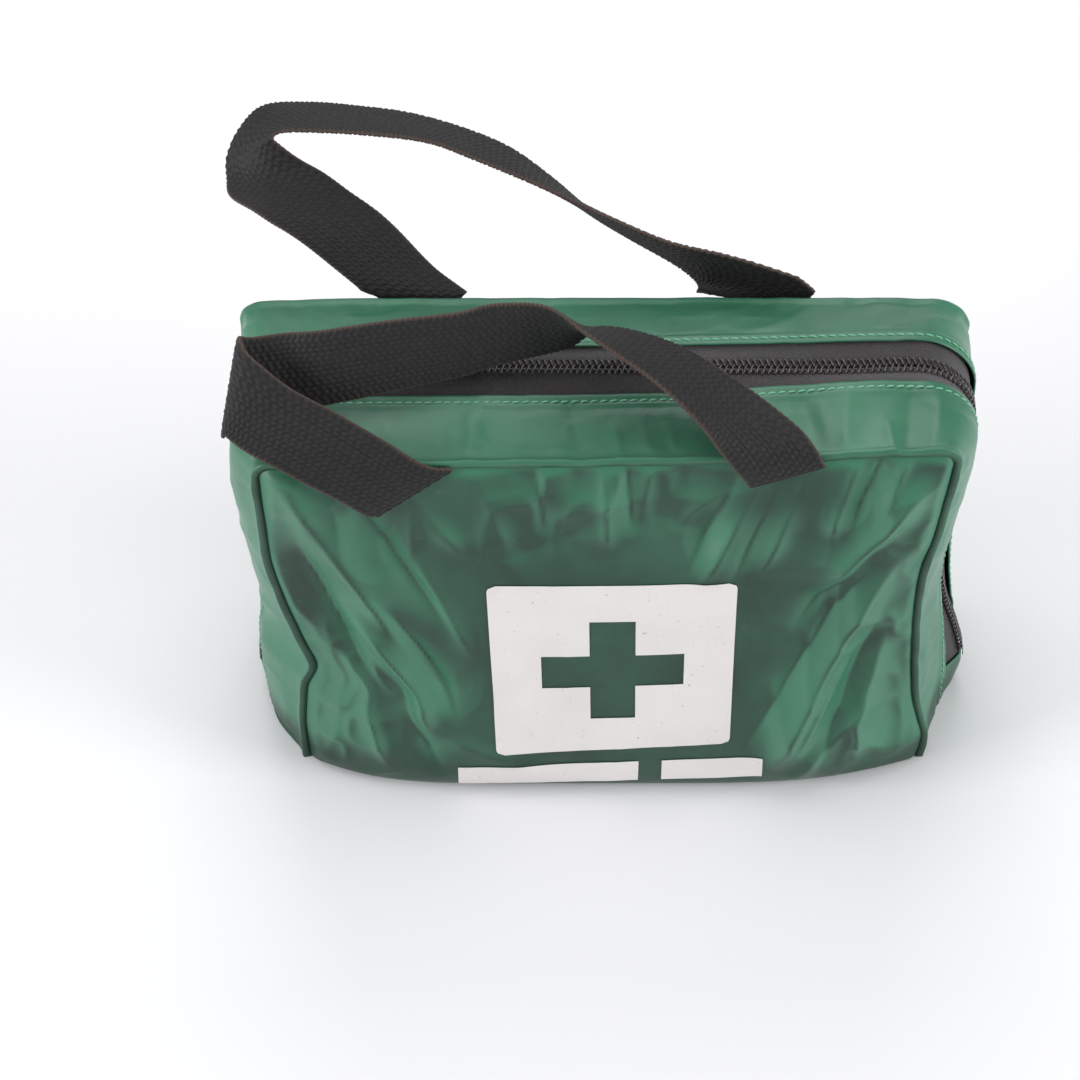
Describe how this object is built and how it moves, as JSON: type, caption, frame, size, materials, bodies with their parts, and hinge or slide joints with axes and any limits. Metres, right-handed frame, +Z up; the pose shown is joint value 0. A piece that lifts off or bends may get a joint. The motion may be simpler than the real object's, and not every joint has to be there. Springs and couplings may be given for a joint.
{
  "type": "first aid kit",
  "caption": "Soft rectangular zip bag with a printed cross, two webbing carry handles and first aid contents; it folds open like a book from its bottom edge.",
  "frame": {"origin": "middle of the bag's flat bottom, on the surface it stands on", "axes": "+X to the right along the bag's width, -Y out of the printed front panel, +Z up"},
  "size_m": [0.2478, 0.1487, 0.1915],
  "materials": {
    "coated_nylon": "polyurethane-coated nylon, soft satin sheen, fine weave",
    "print_white": "screen-printed off-white ink on the cloth",
    "binding": "narrow woven binding tape",
    "zip_tape": "dark woven zip tape",
    "zip_coil": "nylon coil, slightly glossy",
    "webbing": "black polypropylene webbing, coarse weave",
    "pocket_cloth": "uncoated lining nylon",
    "leaflet_paper": "folded uncoated paper",
    "dressing_wrap": "heat-sealed paper wrapping",
    "glove_bag": "thin printed plastic bag",
    "sachet_foil": "laminated foil sachets with crimped edges",
    "elastic": "ribbed elastic webbing",
    "crepe": "crepe bandage, crinkled weave",
    "gauze": "open weave conforming bandage",
    "carton": "printed folding carton",
    "tri_wrap": "clear film over folded white cloth",
    "foil": "crinkled metallised film",
    "tape_fabric": "zinc oxide tape, wound",
    "core_card": "spiral-wound card tube",
    "steel": "brushed stainless steel",
    "slider_metal": "black enamelled zinc",
    "pull_metal": "black enamelled zinc"
  },
  "bodies": {
    "back_half": {"back_panel": "coated_nylon", "back_gusset": "coated_nylon", "back_seam_tape": "binding", "bottom_panel": "coated_nylon", "zip_end_tabs": "coated_nylon", "back_zip_tape": "zip_tape", "back_zip_coil": "zip_coil", "back_handle_tabs": "webbing", "elastic_strap": "elastic", "wide_bandage": "crepe", "narrow_bandages": "gauze", "plaster_carton": "carton", "triangular_bandages": "tri_wrap", "foil_blanket": "foil", "tape_roll": "tape_fabric", "tape_core": "core_card", "tweezers": "steel", "safety_pins": "steel", "scissors_back_half": "steel", "scissors_screw": "steel"},
    "front_half": {"front_panel": "coated_nylon", "print_square": "print_white", "print_bars": "print_white", "front_gusset": "coated_nylon", "front_seam_tape": "binding", "front_zip_tape": "zip_tape", "front_zip_coil": "zip_coil", "front_handle_tabs": "webbing", "inner_pocket": "pocket_cloth", "first_aid_leaflet": "leaflet_paper", "wound_dressings": "dressing_wrap", "glove_pack": "glove_bag", "wipe_sachets": "sachet_foil"},
    "front_handle": {"front_handle": "webbing"},
    "back_handle": {"back_handle": "webbing"},
    "right_slider": {"right_slider": "slider_metal"},
    "left_slider": {"left_slider": "slider_metal"},
    "right_pull": {"right_pull": "pull_metal"},
    "left_pull": {"left_pull": "pull_metal"},
    "scissors_front": {"scissors_front_half": "steel"}
  },
  "joints": [
    {"name": "lid_fold", "type": "hinge", "parent": "back_half", "child": "front_half", "pos_m": [0, -0.038, 0.015], "axis": [1, 0, 0], "range_deg": [0, 90]},
    {"name": "front_handle_swing", "type": "hinge", "parent": "front_half", "child": "front_handle", "pos_m": [0, -0.046, 0.147], "axis": [-1, 0, 0], "range_deg": [-150, 0]},
    {"name": "back_handle_swing", "type": "hinge", "parent": "back_half", "child": "back_handle", "pos_m": [0, 0.042, 0.144], "axis": [-1, 0, 0], "range_deg": [-25, 90]},
    {"name": "right_slider_run", "type": "slide", "parent": "back_half", "child": "right_slider", "axis": [1, 0, 0], "range_m": [0, 0.14]},
    {"name": "left_slider_run", "type": "slide", "parent": "back_half", "child": "left_slider", "axis": [-1, 0, 0], "range_m": [0, 0.01]},
    {"name": "right_pull_swing", "type": "hinge", "parent": "right_slider", "child": "right_pull", "pos_m": [-0.067, 0, 0.1601], "axis": [0, -1, 0], "range_deg": [0, 150]},
    {"name": "left_pull_swing", "type": "hinge", "parent": "left_slider", "child": "left_pull", "pos_m": [-0.08, 0, 0.1601], "axis": [0, 1, 0], "range_deg": [0, 150]},
    {"name": "scissors_open", "type": "hinge", "parent": "back_half", "child": "scissors_front", "pos_m": [0.07, 0.0315, 0.05], "axis": [0, -1, 0], "range_deg": [0, 35]}
  ]
}
